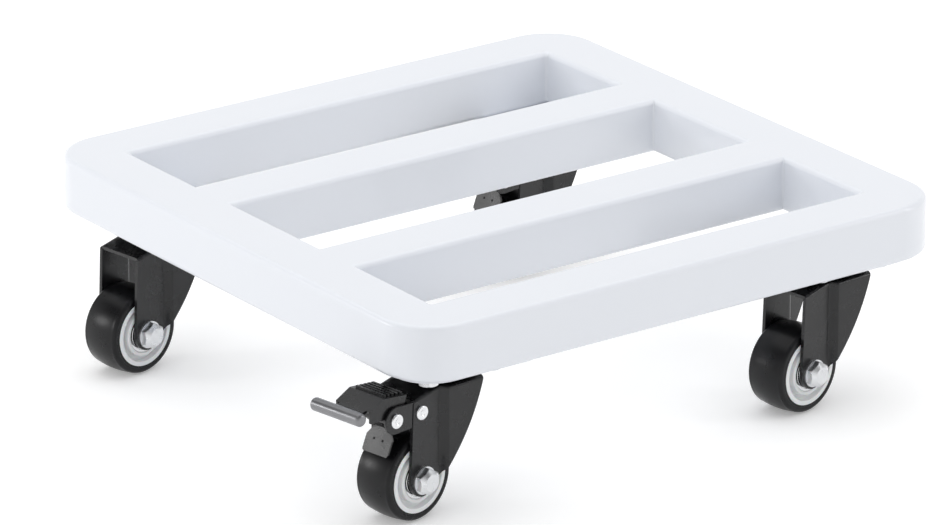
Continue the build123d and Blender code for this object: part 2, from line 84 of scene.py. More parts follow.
camera = bpy.data.objects.new("camera", bpy.data.cameras.new("camera"))
camera.data.lens = camera_lens
camera.data.sensor_width = 36
camera.data.clip_end = 20
camera.location = (
    Vector((0, 0, deck_top)) + towards_camera * camera_distance
    + camera_right * camera_shift_right + camera_up * camera_shift_up
)
camera.rotation_euler = (-towards_camera).to_track_quat("-Z", "Y").to_euler()
bpy.context.scene.collection.objects.link(camera)
bpy.context.scene.camera = camera
bpy.context.scene.view_settings.view_transform = "Standard"
print("camera at", [round(c, 3) for c in camera.location])

# %% [markdown]
# A white sweep of paper is the usual floor for a product shot. Lighting it until it burns out would burn
# out the white deck as well. So the floor gets a small glow of its own that only the camera and
# mirror-like surfaces see: it reads as white paper, and the wheels still leave a soft shadow on it. The
# surroundings are white near the horizon and darker overhead, as a studio is between its lamps. In an
# all-white room, polished steel and glossy black would have nothing to reflect and would look like flat
# paint.

# %% Floor and surroundings
floor_half = 6.0
floor_glow = 0.24
paper_white = 0.93
surroundings_level = 0.66
overhead_level = 0.2
fade_start, fade_end = 0.1, 0.7


def link(tree, source, output, target, socket):
    tree.links.new(source.outputs[output], target.inputs[socket])


def seen_directly(tree):
    """1 for rays from the camera and for mirror or glass rays, and 0 for soft light."""
    path = tree.nodes.new("ShaderNodeLightPath")
    mirrored = tree.nodes.new("ShaderNodeMath")
    mirrored.operation = "MAXIMUM"
    link(tree, path, "Is Glossy Ray", mirrored, 0)
    link(tree, path, "Is Transmission Ray", mirrored, 1)
    either = tree.nodes.new("ShaderNodeMath")
    either.operation = "MAXIMUM"
    link(tree, path, "Is Camera Ray", either, 0)
    link(tree, mirrored, 0, either, 1)
    return either


def make_floor():
    """A flat sheet of white paper, with a glow of its own for direct and mirrored rays."""
    mesh = bpy.data.meshes.new("floor")
    h = floor_half
    mesh.from_pydata([(-h, -h, 0), (h, -h, 0), (h, h, 0), (-h, h, 0)], [], [(0, 1, 2, 3)])
    floor = bpy.data.objects.new("floor", mesh)
    bpy.context.scene.collection.objects.link(floor)
    paper = bpy.data.materials.new("white_paper")
    paper.use_nodes = True
    tree = paper.node_tree
    tree.nodes.clear()
    out = tree.nodes.new("ShaderNodeOutputMaterial")
    diffuse = tree.nodes.new("ShaderNodeBsdfDiffuse")
    diffuse.inputs["Color"].default_value = (paper_white, paper_white, paper_white, 1)
    glow = tree.nodes.new("ShaderNodeEmission")
    strength = tree.nodes.new("ShaderNodeMath")
    strength.operation = "MULTIPLY"
    strength.inputs[1].default_value = floor_glow
    link(tree, seen_directly(tree), 0, strength, 0)
    link(tree, strength, 0, glow, "Strength")
    both = tree.nodes.new("ShaderNodeAddShader")
    link(tree, diffuse, 0, both, 0)
    link(tree, glow, 0, both, 1)
    link(tree, both, 0, out, "Surface")
    mesh.materials.append(paper)


def make_surroundings():
    """White at the horizon, and for direct and mirrored rays darker the more they point upwards."""
    world = bpy.data.worlds.new("studio")
    bpy.context.scene.world = world
    world.use_nodes = True
    tree = world.node_tree
    background = tree.nodes["Background"]
    background.inputs["Color"].default_value = (1, 1, 1, 1)
    direction = tree.nodes.new("ShaderNodeTexCoord")
    parts = tree.nodes.new("ShaderNodeSeparateXYZ")
    link(tree, direction, "Generated", parts, 0)
    fade = tree.nodes.new("ShaderNodeMapRange")
    fade.interpolation_type = "SMOOTHSTEP"
    fade.inputs["From Min"].default_value = fade_start
    fade.inputs["From Max"].default_value = fade_end
    fade.inputs["To Min"].default_value = 1.0
    fade.inputs["To Max"].default_value = overhead_level
    link(tree, parts, "Z", fade, "Value")
    level = tree.nodes.new("ShaderNodeMix")
    level.inputs["A"].default_value = surroundings_level
    link(tree, fade, 0, level, "B")
    link(tree, seen_directly(tree), 0, level, "Factor")
    link(tree, level, "Result", background, "Strength")


make_floor()
make_surroundings()

# %% [markdown]
# A wide soft box overhead makes the deck's top a little brighter than its sides. Two tall ones light the
# sides and draw the long highlights on rounded edges. A small low one behind on the left puts a soft
# sheen on the treads and the press bar. Smaller lamps would give hard shadows that the photograph doesn't
# have.

# %% Lamps
# Each row is a name, the lamp's place, the point it faces, its size across and up, and its power in watts.
LAMPS = (
    ("overhead", (0.1, 0.3, 1.6), (0, 0, 0.1), (2.3, 2.3), 14.0),
    ("left_box", (-1.7, -0.6, 1.0), (0, 0, 0.08), (0.35, 1.3), 2.0),
    ("right_box", (1.5, -1.3, 0.9), (0, 0, 0.08), (0.3, 1.1), 5.0),
    ("low_box", (-1.45, 0.9, 0.46), (0, 0, 0.03), (0.34, 0.34), 3.8),
)
for name, place, target, size, power in LAMPS:
    lamp = bpy.data.lights.new(name, "AREA")
    lamp.shape = "RECTANGLE"
    lamp.size, lamp.size_y = size
    lamp.energy = power
    holder = bpy.data.objects.new(name, lamp)
    holder.location = place
    holder.rotation_euler = (Vector(target) - Vector(place)).to_track_quat("-Z", "Y").to_euler()
    bpy.context.scene.collection.objects.link(holder)
print(len(LAMPS), "soft boxes")

# %% [markdown]
# Every finish is a Principled shader with its constants on its own sockets, plus fine bump and a drift in
# roughness. These helpers add the noise for both, in real sizes: a grain of 2 mm is a scale of 500 per
# metre.

# %% Helpers for finishes
def finish(name, colour, roughness, **sockets):
    """A material with a Principled shader, and its Object coordinates ready for patterns."""
    material = bpy.data.materials.new(name)
    material.use_nodes = True
    tree = material.node_tree
    shader = tree.nodes["Principled BSDF"]
    shader.inputs["Base Color"].default_value = (*colour, 1)
    shader.inputs["Roughness"].default_value = roughness
    for socket, value in sockets.items():
        shader.inputs[socket.replace("_", " ")].default_value = value
    place = tree.nodes.new("ShaderNodeTexCoord")
    return material, tree, shader, place


def grain(tree, place, size_mm, detail=2.0):
    """Soft random grain whose lumps are about size_mm across."""
    noise = tree.nodes.new("ShaderNodeTexNoise")
    noise.inputs["Scale"].default_value = 1 / (size_mm * MM)
    noise.inputs["Detail"].default_value = detail
    link(tree, place, "Object", noise, "Vector")
    return noise


def between(tree, source, output, low, high):
    """Turns a noise pattern, which rarely leaves 0.15 to 0.85, into a value from low to high."""
    span = tree.nodes.new("ShaderNodeMapRange")
    span.interpolation_type = "SMOOTHSTEP"
    span.inputs["From Min"].default_value = 0.15
    span.inputs["From Max"].default_value = 0.85
    span.inputs["To Min"].default_value = low
    span.inputs["To Max"].default_value = high
    link(tree, source, output, span, "Value")
    return span


def bump(tree, shader, source, output, height_mm):
    """Raises the shading by up to height_mm where the pattern is 1."""
    raised = tree.nodes.new("ShaderNodeBump")
    raised.inputs["Distance"].default_value = height_mm * MM
    link(tree, source, output, raised, "Height")
    link(tree, raised, 0, shader, "Normal")


def tint(tree, shader, source, output, dark, light):
    """Drifts the base colour between two close colours."""
    mix = tree.nodes.new("ShaderNodeMix")
    mix.data_type = "RGBA"
    mix.inputs["A"].default_value = (*dark, 1)
    mix.inputs["B"].default_value = (*light, 1)
    link(tree, source, output, mix, "Factor")
    tree.links.new(mix.outputs["Result"], shader.inputs["Base Color"])


# %% [markdown]
# The deck's white is a polyester powder, melted on in an oven. It levels out glossy but keeps a very
# faint orange peel, about 2 mm across and a hundredth of a millimetre deep. A perfect mirror-smooth white
# would look like plastic, and a deep peel like a cheap spray can.

# %% White powder coat
def white_powder_coat():
    material, tree, shader, place = finish(
        "white_powder_coat", (0.83, 0.855, 0.905), 0.3, Coat_Weight=0.4, Coat_Roughness=0.07
    )
    peel = grain(tree, place, 2.2, detail=1.0)
    bump(tree, shader, peel, "Fac", 0.012)
    drift = grain(tree, place, 45, detail=2.0)
    link(tree, between(tree, drift, "Fac", 0.27, 0.34), 0, shader, "Roughness")
    tint(tree, shader, drift, "Fac", (0.824, 0.85, 0.901), (0.836, 0.86, 0.909))
    return material


# %% [markdown]
# The forks, pedals, shoes and top plates are pressed steel with a thin black coat. It is smoother than
# the powder and only half glossy. A pure black would lose the folds of the sheet, so it reflects a
# little.

# %% Black coat
def black_coat():
    material, tree, shader, place = finish(
        "black_coat", (0.008, 0.008, 0.009), 0.3, Specular_IOR_Level=0.36, Coat_Weight=0.15,
        Coat_Roughness=0.1,
    )
    peel = grain(tree, place, 2.5, detail=1.0)
    bump(tree, shader, peel, "Fac", 0.005)
    drift = grain(tree, place, 16, detail=3.0)
    link(tree, between(tree, drift, "Fac", 0.2, 0.36), 0, shader, "Roughness")
    tint(tree, shader, drift, "Fac", (0.006, 0.006, 0.007), (0.011, 0.011, 0.012))
    return material


# %% [markdown]
# Bolts, nuts, washers and studs have bright zinc plate: a clean grey metal with a faint cloudy bloom and
# fine marks from the tools that formed them.

# %% Zinc plate
def zinc_plate():
    material, tree, shader, place = finish("zinc_plate", (0.72, 0.73, 0.745), 0.3, Metallic=1.0)
    bloom = grain(tree, place, 4, detail=4.0)
    link(tree, between(tree, bloom, "Fac", 0.22, 0.42), 0, shader, "Roughness")
    tint(tree, shader, bloom, "Fac", (0.62, 0.635, 0.66), (0.78, 0.785, 0.79))
    marks = grain(tree, place, 0.5, detail=3.0)
    bump(tree, shader, marks, "Fac", 0.006)
    return material


# %% [markdown]
# The tyre is cast polyurethane: near-black and smooth, with a soft sheen that spreads the soft boxes
# wide. Rubber would be duller. The white core inside it is moulded nylon, which lets a little light in.

# %% Tyre and core
def tyre_black():
    material, tree, shader, place = finish(
        "tyre_black", (0.005, 0.005, 0.006), 0.3, Specular_IOR_Level=0.28
    )
    skin = grain(tree, place, 0.7, detail=3.0)
    bump(tree, shader, skin, "Fac", 0.01)
    drift = grain(tree, place, 9, detail=3.0)
    link(tree, between(tree, drift, "Fac", 0.25, 0.36), 0, shader, "Roughness")
    tint(tree, shader, drift, "Fac", (0.004, 0.004, 0.005), (0.007, 0.007, 0.008))
    return material


def white_nylon():
    material, tree, shader, place = finish(
        "white_nylon", (0.85, 0.86, 0.87), 0.35, Subsurface_Weight=0.15, Subsurface_Scale=0.002
    )
    skin = grain(tree, place, 0.9, detail=2.0)
    bump(tree, shader, skin, "Fac", 0.006)
    drift = grain(tree, place, 12, detail=2.0)
    link(tree, between(tree, drift, "Fac", 0.3, 0.42), 0, shader, "Roughness")
    tint(tree, shader, drift, "Fac", (0.84, 0.85, 0.862), (0.87, 0.878, 0.885))
    return material


# %% [markdown]
# Bearings and rivets are ground and polished. The press bar is darkened steel under a clear coat: grey
# below, where it mirrors the floor, with one long highlight above.

# %% Polished and darkened steel
def polished_steel():
    material, tree, shader, place = finish("polished_steel", (0.77, 0.775, 0.785), 0.16, Metallic=1.0)
    drift = grain(tree, place, 2.5, detail=4.0)
    link(tree, between(tree, drift, "Fac", 0.12, 0.26), 0, shader, "Roughness")
    tint(tree, shader, drift, "Fac", (0.72, 0.725, 0.74), (0.8, 0.805, 0.81))
    bump(tree, shader, grain(tree, place, 0.3), "Fac", 0.002)
    return material


def bar_steel():
    material, tree, shader, place = finish(
        "bar_steel", (0.22, 0.22, 0.23), 0.34, Metallic=0.9, Coat_Weight=0.3, Coat_Roughness=0.12
    )
    peel = grain(tree, place, 1.6, detail=1.0)
    bump(tree, shader, peel, "Fac", 0.008)
    drift = grain(tree, place, 10, detail=2.0)
    link(tree, between(tree, drift, "Fac", 0.3, 0.4), 0, shader, "Roughness")
    tint(tree, shader, drift, "Fac", (0.2, 0.2, 0.21), (0.24, 0.24, 0.25))
    return material


# %% [markdown]
# The record names a finish slot for each CAD node, so one table from slot to material covers them all.

# %% Give every CAD node its finish
FINISHES = {
    "white_paint": white_powder_coat(), "black_steel": black_coat(), "zinc_steel": zinc_plate(),
    "tyre_black": tyre_black(), "white_nylon": white_nylon(), "bearing_steel": polished_steel(),
    "press_bar": bar_steel(),
}
for part in record["subparts"]:
    mesh = nodes[part["node"]].data
    mesh.materials.clear()
    mesh.materials.append(FINISHES[part["material_slot"]])
print(len(FINISHES), "finishes on", len(record["subparts"]), "nodes")

# %% [markdown]
# New surfaces are grids of points worked out with numpy. These helpers turn grids into a mesh, and merge
# the points that fall together. Sheet metal gets its thickness from a Solidify modifier, and its edges a
# Bevel.

# %% Helpers for surfaces
merge_distance = 0.002
deck_half = 175.0
kingpin_inset = 46.5
heading = np.radians(10.0)
trail = 25.5
axle_height = 24.0


def on_caster(points, corner):
    """Caster's own frame (mm, axle's middle at 0, first value towards the kingpin) to metres in place."""
    side_x, side_y = CORNERS[corner]
    u, v, z = points[..., 0] - trail, points[..., 1], points[..., 2]
    x = side_x * (deck_half - kingpin_inset) + u * np.cos(heading) - v * np.sin(heading)
    y = side_y * (deck_half - kingpin_inset) + u * np.sin(heading) + v * np.cos(heading)
    return np.stack([x, y, z + axle_height], -1) * MM


def arc(centre, radius, start_degrees, end_degrees, count):
    """Points of a circular arc in a plane, one row each."""
    angle = np.radians(np.linspace(start_degrees, end_degrees, count))
    return np.stack([centre[0] + radius * np.cos(angle), centre[1] + radius * np.sin(angle)], -1)


def grid_faces(shape, close_rows=False, close_columns=False, caps=False):
    """Quads between neighbouring points of a grid, closed either way round, with end caps if asked."""
    rows, columns = shape[:2]
    i = np.arange(rows if close_rows else rows - 1)[:, None]
    j = np.arange(columns if close_columns else columns - 1)[None, :]
    i2, j2 = (i + 1) % rows, (j + 1) % columns
    quads = np.stack([i * columns + j, i * columns + j2, i2 * columns + j2, i2 * columns + j], -1)
    last = (rows - 1) * columns
    ends = [list(range(columns)), list(range(last, last + columns))] if caps else []
    return quads.reshape(-1, 4).tolist() + ends


def make_piece(name, grids, slot, body, nodes_replaced=(), sharp_degrees=40):
    """One smooth-shaded object from a list of (points in metres, faces), with the faces turned outwards."""
    mesh = bpy.data.meshes.new(name)
    points, faces = [], []
    for grid_points, one_grid_faces in grids:
        start = sum(len(p) for p in points)
        points.append(grid_points.reshape(-1, 3))
        faces += [[start + corner for corner in face] for face in one_grid_faces]
    mesh.from_pydata(np.concatenate(points).tolist(), [], faces)
    work = bmesh.new()
    work.from_mesh(mesh)
    bmesh.ops.remove_doubles(work, verts=work.verts, dist=merge_distance * MM)
    bmesh.ops.recalc_face_normals(work, faces=work.faces)
    work.to_mesh(mesh)
    work.free()
    mesh.shade_smooth()
    mesh.set_sharp_from_angle(angle=np.radians(sharp_degrees))
    mesh.materials.append(FINISHES[slot])
    piece = bpy.data.objects.new(name, mesh)
    bpy.context.scene.collection.objects.link(piece)
    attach(piece, body)
    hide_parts(*nodes_replaced)
    return piece


def flat_faces_first(piece):
    """Lets large flat faces keep their flat shading beside rounded edges."""
    piece.modifiers.new("flat_faces_first", "WEIGHTED_NORMAL").keep_sharp = True


def ease_edges(piece, width_mm, degrees=50):
    """Rounds the sharp edges a little."""
    bevel = piece.modifiers.new("eased_edges", "BEVEL")
    bevel.width = width_mm * MM
    bevel.segments = 2
    bevel.limit_method = "ANGLE"
    bevel.angle_limit = np.radians(degrees)
    flat_faces_first(piece)


# %% [markdown]
# The deck is one welded frame under one coat, so no joint shows on it. Each tube is a rounded-rectangle
# section carried along its side, and it ends on the 45 degree mitre where the next tube begins. Round the
# corner each line of the section turns on its own radius, 30 mm outside and 2 mm inside.

# %% Deck tubes
tube_width = 34.0
tube_height = 31.0
edge_radius = 3.0
corner_radius = 30.0
inner_corner_radius = 2.0
deck_low = 87.0


def tube_section():
    """A rounded rectangle as rows of (distance from the outer face, height), once round."""
    w, h, r = tube_width, tube_height, edge_radius
    return np.concatenate([
        arc((w - r, h - r), r, 0, 90, 9), arc((r, h - r), r, 90, 180, 9),
        arc((r, r), r, 180, 270, 9), arc((w - r, r), r, 270, 360, 9),
    ])


def tube_along_side(section, turns):
    """Carries a section from mitre to mitre along the front side, then turns it to another side.

    For a point at distance d from the outer face, the path is an arc of radius 30 - d, and at least 2,
    about a centre on the corner's diagonal, then the straight run, then the same arc mirrored.
    """
    d, height = section[:, 0], section[:, 1]
    radius = np.maximum(corner_radius - d, inner_corner_radius)
    centre = deck_half - d - radius
    angle = np.radians(np.linspace(45, 0, 33))[:, None]
    x_left = -centre - radius * np.sin(angle)
    y_arc = -centre - radius * np.cos(angle)
    x = np.concatenate([x_left, -x_left[::-1]])
    y = np.concatenate([y_arc, y_arc[::-1]])
    z = np.broadcast_to(height + deck_low, x.shape)
    for _ in range(turns):
        x, y = -y, x
    return np.stack([x, y, z], -1) * MM


section = tube_section()
for turns, name in enumerate(("front_tube", "right_tube", "rear_tube", "left_tube")):
    points = tube_along_side(section, turns)
    faces = grid_faces(points.shape, close_columns=True, caps=True)
    flat_faces_first(make_piece(f"{name}_coat", [(points, faces)], "white_paint", "deck", [name]))
print("4 tubes of", len(faces), "faces")

# %% [markdown]
# A crossbar is coped: its end is cut to fit the side tube's rounded edge, and the weld is ground flush.
# Here each bar simply runs on to where the side tube's top is flat, so that its top meets the tube's top
# level. In each upright corner the weld leaves a small hollow fillet, which swells from nothing at both
# ends.

# %% Crossbars and their welds
crossbar_offset = 58.0
weld_radius = 1.6
weld_least = 0.02
weld_sunk = 0.4
weld_end_margin = 2.0
inner_wall = deck_half - tube_width


def crossbar(middle):
    """The tube's section in a straight run between the flat tops of the two side tubes."""
    x = np.array([-1, 1])[:, None] * (inner_wall + edge_radius)
    y = section[:, 0] - tube_width / 2 + middle
    points = np.stack(np.broadcast_arrays(x, y, section[:, 1] + deck_low), -1) * MM
    return points, grid_faces(points.shape, close_columns=True, caps=True)


def weld_fillet(x_wall, y_wall, x_side, y_side):
    """At each height, a hollow quarter arc between two walls, closed by three points sunk behind them."""
    z = np.linspace(weld_end_margin, tube_height - weld_end_margin, 25)[:, None]
    swell = weld_radius * np.sin(np.pi * (z - z[0]) / (z[-1] - z[0])) ** 0.3 + weld_least
    angle = np.radians(np.linspace(180, 270, 9))
    across = np.concatenate([1 + np.cos(angle), [1, 0, 0]]) * swell
    along = np.concatenate([1 + np.sin(angle), [0, 0, 1]]) * swell
    across = across - weld_sunk * np.array([0.0] * 9 + [0, 1, 1])
    along = along - weld_sunk * np.array([0.0] * 9 + [1, 1, 0])
    points = np.stack(np.broadcast_arrays(
        x_wall + x_side * across, y_wall + y_side * along, z + deck_low
    ), -1) * MM
    return points, grid_faces(points.shape, close_columns=True, caps=True)


welds = []
for name, middle in (("front_crossbar", -crossbar_offset), ("rear_crossbar", crossbar_offset)):
    flat_faces_first(make_piece(f"{name}_coat", [crossbar(middle)], "white_paint", "deck", [name]))
    for side_x in (-1, 1):
        for side_y in (-1, 1):
            wall_y = middle + side_y * tube_width / 2
            welds.append(weld_fillet(side_x * inner_wall, wall_y, -side_x, side_y))
make_piece("weld_fillets", welds, "white_paint", "deck")
print("2 crossbars and", len(welds), "weld fillets")

# %% [markdown]
# A fork is one sheet of 2 mm steel, pressed into an arch. Seen from above, each leg steps out behind the
# wheel and flares round the swivel head. The outer face is one grid that goes up one leg, round the bend,
# over the ramped crown and down the other leg, so the light runs over the bends as it does on pressed
# steel.

# %% Fork outline
fork_half = 15.0
fork_step = 4.0
fork_flare = 2.5
step_start, step_end = 12.2, 14.2
step_round = 0.9
fork_front, fork_rear = -7.0, 38.3
crown_rise, crown_front_rise = 49.3, 45.6
ramp_end = 11.0
fold_softness = 2.0
boss_radius = 9.0
knee = np.array([17.1, 7.0])
bend_radius = 2.2
fork_sheet = 2.0


def tangent_point(corner, turn):
    """Where a line from a corner touches the boss's circle, on one side or the other."""
    angle = np.arctan2(corner[1], corner[0]) + turn * np.arccos(boss_radius / np.hypot(*corner))
    return boss_radius * np.array([np.cos(angle), np.sin(angle)])


def boss_half_width(z):
    return np.sqrt(np.maximum(boss_radius ** 2 - z ** 2, 0))


def leg_front(z):
    """Front edge of the leg: the boss's circle, then the tangent to the crown's front corner."""
    touch = tangent_point((fork_front, crown_front_rise), 1)
    rise = (z - touch[1]) / (crown_front_rise - touch[1])
    return np.where(z < touch[1], -boss_half_width(z), touch[0] + (fork_front - touch[0]) * rise)


def leg_rear(z):
    """Rear edge: the boss's circle, its tangent to the knee, and an arc on to the crown's rear corner."""
    touch = tangent_point(knee, -1)
    along = (knee - touch) / np.hypot(*(knee - touch))
    left = np.array([-along[1], along[0]])
    chord = np.array([fork_rear, crown_rise]) - knee
    radius = chord @ chord / (2 * chord @ left)
    centre = knee + radius * left
    swept = centre[0] + np.sqrt(radius ** 2 - (z - centre[1]) ** 2)
    straight = touch[0] + along[0] / along[1] * (z - touch[1])
    return np.where(z < touch[1], boss_half_width(z), np.where(z < knee[1], straight, swept))


def crown_height(u):
    """The crown over the axle: level behind, and ramped down to the front edge with a soft fold."""
    before = ramp_end - u
    soft = 0.5 * (before + np.sqrt(before ** 2 + fold_softness ** 2))
    return crown_rise - (crown_rise - crown_front_rise) * soft / (ramp_end - fork_front)


def leg_side(u):
    """How far out the leg stands: an S-bend at the step, and a straight flare behind it."""
    s = np.clip((u - step_start + step_round) / (step_end - step_start + 2 * step_round), 0, 1)
    flare = np.clip((u - step_end) / (fork_rear - step_end), 0, 1)
    return fork_half + fork_step * s * s * (3 - 2 * s) + fork_flare * flare


rear_edges = [round(float(leg_rear(z)), 1) for z in (0, knee[1], crown_rise)]
print("rear edge at the axle, knee and crown:", rear_edges)

# %% Fork surface
lift_from = 30.0
PEDAL_PIVOT = (-19.5, 38.4)
ear_radius = 7.4
ear_inner, ear_outer = 13.02, 14.6
ear_root_sunk = 0.5
ear_below_crown = 0.6


def fork_grid():
    """The outer face: rows go up one leg and across the crown, and columns run from front to rear.

    Each row has the same fixed places along the fork, held between its own front and rear edge. Above
    the level lift_from, the rows lean over to follow the crown's ramp.
    """
    columns = np.concatenate([
        np.linspace(-boss_radius, step_start - step_round, 20),
        np.linspace(step_start - step_round, step_end + step_round, 17)[1:],
        np.linspace(step_end + step_round, fork_rear, 18)[1:],
    ])[None, :]
    boss = -boss_radius * np.cos(np.radians(np.linspace(0, 86, 16)))
    upright = np.linspace(1.5, crown_rise - bend_radius, 34)
    turn = np.radians(np.linspace(10, 90, 8))
    bend = crown_rise - bend_radius * (1 - np.sin(turn))
    level = np.concatenate([boss, upright, bend])[:, None]
    inset = np.concatenate([boss * 0, upright * 0, bend_radius * (1 - np.cos(turn))])[:, None]
    share = np.clip((level - lift_from) / (crown_rise - lift_from), 0, 1)
    front_level = np.where(level > lift_from, lift_from + share * (crown_front_rise - lift_from), level)
    u = np.clip(columns, leg_front(front_level), leg_rear(level))
    drop = crown_rise - crown_height(u)
    leg = np.stack([u, leg_side(u) - inset, level - drop * share], -1)
    inwards = np.linspace(0.88, 0, 7)[:, None]
    top = leg[-1][None]
    crown = np.stack([top[..., 0] + 0 * inwards, top[..., 1] * inwards, top[..., 2] + 0 * inwards], -1)
    half = np.concatenate([leg, crown])
    return np.concatenate([half * [1, -1, 1], half[-2::-1]])


def ear_grid(inner, outer):
    """A forward ear: half a round eye about the pedal's pin, with a web back to the leg."""
    eye = arc(PEDAL_PIVOT, ear_radius, 90, 270, 33)
    root = fork_front + ear_root_sunk
    web = np.array([[root, PEDAL_PIVOT[1] - ear_radius], [root, crown_front_rise - ear_below_crown]])
    outline = np.concatenate([eye, web])
    across = np.array([inner, outer])[:, None]
    points = np.stack(np.broadcast_arrays(outline[:, 0], across, outline[:, 1]), -1)
    return points, grid_faces(points.shape, close_columns=True, caps=True)


fork_points = fork_grid()
fork_faces = grid_faces(fork_points.shape)
ears = [ear_grid(side * ear_inner, side * ear_outer) for side in (-1, 1)]
for corner in CORNERS:
    body, node = f"caster_{corner}", f"fork_{corner}"
    points = on_caster(fork_points, corner)
    fork = make_piece(f"fork_sheet_{corner}", [(points, fork_faces)], "black_steel", body, [node], 60)
    top = max(fork.data.polygons, key=lambda face: face.center.z)
    if top.normal.z < 0:
        fork.data.flip_normals()
    wall = fork.modifiers.new("sheet", "SOLIDIFY")
    wall.thickness = fork_sheet * MM
    wall.offset = -1
    wall.use_even_offset = True
    ease_edges(fork, 0.3)
    if corner in BRAKED:
        placed = [(on_caster(points, corner), faces) for points, faces in ears]
        ease_edges(make_piece(f"fork_ears_{corner}", placed, "black_steel", body, [node]), 0.3)
print("4 forks of", len(fork_faces), "faces before their thickness")

# %% [markdown]
# On each crown lies a hardened race, a ring with a groove for the balls. Like the wheels after it, it is
# a turned shape: a profile of radius and distance along the axis, spun round it.

# %% Race rings
spin_steps = 128
race_radius = 15.6
race_height = 1.6
race_bore = 5.2
race_edge_round = 0.3
ball_circle = 12.5
ball_level = 2.7
ball_groove = 2.05


def spun(profile, steps=spin_steps):
    """Spins rows of (radius, distance along the axle) once round the axle."""
    angle = np.linspace(0, 2 * np.pi, steps, endpoint=False)[:, None]
    radius, along = profile[:, 0], profile[:, 1]
    return np.stack(np.broadcast_arrays(radius * np.cos(angle), along, radius * np.sin(angle)), -1)


groove_edge = np.degrees(np.arcsin((ball_level - race_height) / ball_groove))
race_profile = np.concatenate([
    [[race_bore, 0], [race_bore, race_height]],
    arc((ball_circle, ball_level), ball_groove, 180 + groove_edge, 360 - groove_edge, 12),
    arc((race_radius - race_edge_round, race_height - race_edge_round), race_edge_round, 90, 0, 4),
    [[race_radius, 0]],
])
flat_race = spun(race_profile)[..., [0, 2, 1]] + [trail, 0, crown_rise]
race_faces = grid_faces(flat_race.shape, close_rows=True, close_columns=True)
for corner in CORNERS:
    grids = [(on_caster(flat_race, corner), race_faces)]
    flat_faces_first(make_piece(
        f"fork_race_{corner}", grids, "black_steel", f"caster_{corner}", [f"fork_{corner}"], 30
    ))
print("4 races,", 2 * race_radius, "mm across")

# %% [markdown]
# Tyre, core and bearings are profiles spun round the axle. The tyre's shoulder is tight, so it draws a
# fine line of light. The core has a white rim, a sunken web with three fine steps from its mould, and a
# hub that holds the bearing's outer ring, sunken shield and inner ring.

# %% Wheels
wheel_radius = 24.0
tread_drop = 0.8
tread_half = 9.4
tyre_side = 12.0
shoulder_centre = np.array([21.1, 9.75])
shoulder_size = np.array([2.1, tyre_side - shoulder_centre[1]])
mould_line_radius = 20.05
mould_line_half, mould_line_depth = 0.15, 0.12
core_radius = 18.8
core_side = 12.4
core_edge_round = 0.4
web_level = core_side - 3.5
web_draft = 0.15
web_step_depth = 0.25
web_step_spacing = 0.85
web_step_count = 3
seat_chamfer = 0.25
rim_inner = 16.2
hub_radius = 13.0
bearing_radius = 11.0
bearing_face = core_side - 0.4
bearing_back = bearing_face - 5.0
bearing_bore = 6.05
core_bore = 8.5
outer_ring_inside = bearing_radius - 1.5
inner_ring_outside = bearing_radius - 3.6
ring_chamfer = 0.2
ring_lip = 0.15
shield_depth = 0.5
shield_rise = 0.2


def both_sides(half):
    """A profile given for one side, from the outside in, with its mirror image: one closed loop."""
    return np.concatenate([half, (half * [1, -1])[::-1]])


def tyre_profile():
    """Crowned tread, tight shoulder, flat side wall with a fine line, and the bore on the core."""
    along = np.linspace(0.8, tread_half, 12)
    tread = np.stack([wheel_radius - tread_drop * (along / tread_half) ** 2, along], -1)
    shoulder = shoulder_centre + arc((0, 0), 1.0, 10, 90, 12) * shoulder_size
    line = [
        [mould_line_radius + mould_line_half, tyre_side],
        [mould_line_radius, tyre_side - mould_line_depth],
        [mould_line_radius - mould_line_half, tyre_side],
        [core_radius, tyre_side],
    ]
    return both_sides(np.concatenate([tread, shoulder, line]))


def core_profile():
    """Rounded rim, web with fine steps, hub, and the seats of the two bearings."""
    round_level = core_side - core_edge_round
    rim = np.concatenate([
        arc((core_radius - core_edge_round, round_level), core_edge_round, 0, 90, 5),
        arc((rim_inner + core_edge_round, round_level), core_edge_round, 90, 180, 5),
    ])
    step = np.array([[0.0, 0], [-0.1, -web_step_depth], [-0.5, -web_step_depth], [-0.6, 0]])
    first_step = rim_inner - 3 * web_draft
    steps = [step + (first_step - web_step_spacing * k, web_level) for k in range(web_step_count)]
    hub = np.concatenate([
        [[hub_radius + web_draft, web_level]],
        arc((hub_radius - core_edge_round, round_level), core_edge_round, 0, 90, 5),
        [[bearing_radius + seat_chamfer, core_side], [bearing_radius, core_side - seat_chamfer]],
        [[bearing_radius, bearing_back], [core_bore, bearing_back]],
    ])
    return both_sides(np.concatenate([rim, [[rim_inner - web_draft, web_level]], *steps, hub]))


def bearing_profile():
    """Outer ring, pressed shield with a raised middle, and inner ring, for one bearing."""
    face, outer, inner = bearing_face, outer_ring_inside, inner_ring_outside
    low = face - shield_depth
    high = low + shield_rise
    shield_outer, shield_inner = outer - 0.35, inner + 0.4
    outer_ring = [
        [bearing_radius, bearing_back], [bearing_radius, face - ring_chamfer],
        [bearing_radius - ring_chamfer, face], [outer + ring_lip, face], [outer, face - ring_lip],
    ]
    shield = [
        [outer, low], [shield_outer, low], [shield_outer - shield_rise, high],
        [shield_inner + shield_rise, high], [shield_inner, low], [inner, low],
    ]
    inner_ring = [
        [inner, face - ring_lip], [inner - ring_lip, face], [bearing_bore + ring_chamfer, face],
        [bearing_bore, face - ring_chamfer], [bearing_bore, bearing_back],
    ]
    return np.array(outer_ring + shield + inner_ring)


